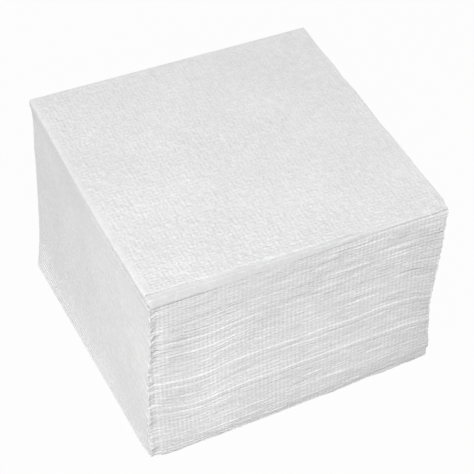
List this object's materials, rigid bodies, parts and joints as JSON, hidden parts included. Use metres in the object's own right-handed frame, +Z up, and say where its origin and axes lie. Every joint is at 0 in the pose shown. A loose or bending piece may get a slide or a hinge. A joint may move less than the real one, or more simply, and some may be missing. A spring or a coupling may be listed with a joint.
{
  "type": "stack of paper napkins",
  "caption": "Free-standing square stack of white embossed paper napkins, each folded in quarters, with closed folds on one side, twin folds behind and cut edges on the other two.",
  "frame": {"origin": "On the surface that the stack stands on, under the middle of its bounding box.", "axes": "+Z up; -X is the side with the closed folds and +Y the side with the twin folds; the cut edges face -Y, the front, and +X."},
  "size_m": [0.1302, 0.1256, 0.0917],
  "materials": {
    "napkin_tissue": "soft matt white tissue, three plies, with a fine all-over embossed dot pattern"
  },
  "bodies": {
    "root": {"napkin_01": "napkin_tissue", "napkin_02": "napkin_tissue", "napkin_03": "napkin_tissue", "napkin_04": "napkin_tissue", "napkin_05": "napkin_tissue", "napkin_06": "napkin_tissue", "napkin_07": "napkin_tissue", "napkin_08": "napkin_tissue", "napkin_09": "napkin_tissue", "napkin_10": "napkin_tissue", "napkin_11": "napkin_tissue", "napkin_12": "napkin_tissue", "napkin_13": "napkin_tissue", "napkin_14": "napkin_tissue", "napkin_15": "napkin_tissue", "napkin_16": "napkin_tissue", "napkin_17": "napkin_tissue", "napkin_18": "napkin_tissue", "napkin_19": "napkin_tissue", "napkin_20": "napkin_tissue", "napkin_21": "napkin_tissue", "napkin_22": "napkin_tissue", "napkin_23": "napkin_tissue", "napkin_24": "napkin_tissue", "napkin_25": "napkin_tissue", "napkin_26": "napkin_tissue", "napkin_27": "napkin_tissue", "napkin_28": "napkin_tissue", "napkin_29": "napkin_tissue", "napkin_30": "napkin_tissue", "napkin_31": "napkin_tissue", "napkin_32": "napkin_tissue", "napkin_33": "napkin_tissue", "napkin_34": "napkin_tissue", "napkin_35": "napkin_tissue", "napkin_36": "napkin_tissue", "napkin_37": "napkin_tissue", "napkin_38": "napkin_tissue", "napkin_39": "napkin_tissue", "napkin_40": "napkin_tissue", "napkin_41": "napkin_tissue", "napkin_42": "napkin_tissue", "napkin_43": "napkin_tissue", "napkin_44": "napkin_tissue", "napkin_45": "napkin_tissue", "napkin_46": "napkin_tissue", "napkin_47": "napkin_tissue", "napkin_48": "napkin_tissue", "napkin_49": "napkin_tissue", "napkin_50": "napkin_tissue"}
  },
  "joints": []
}
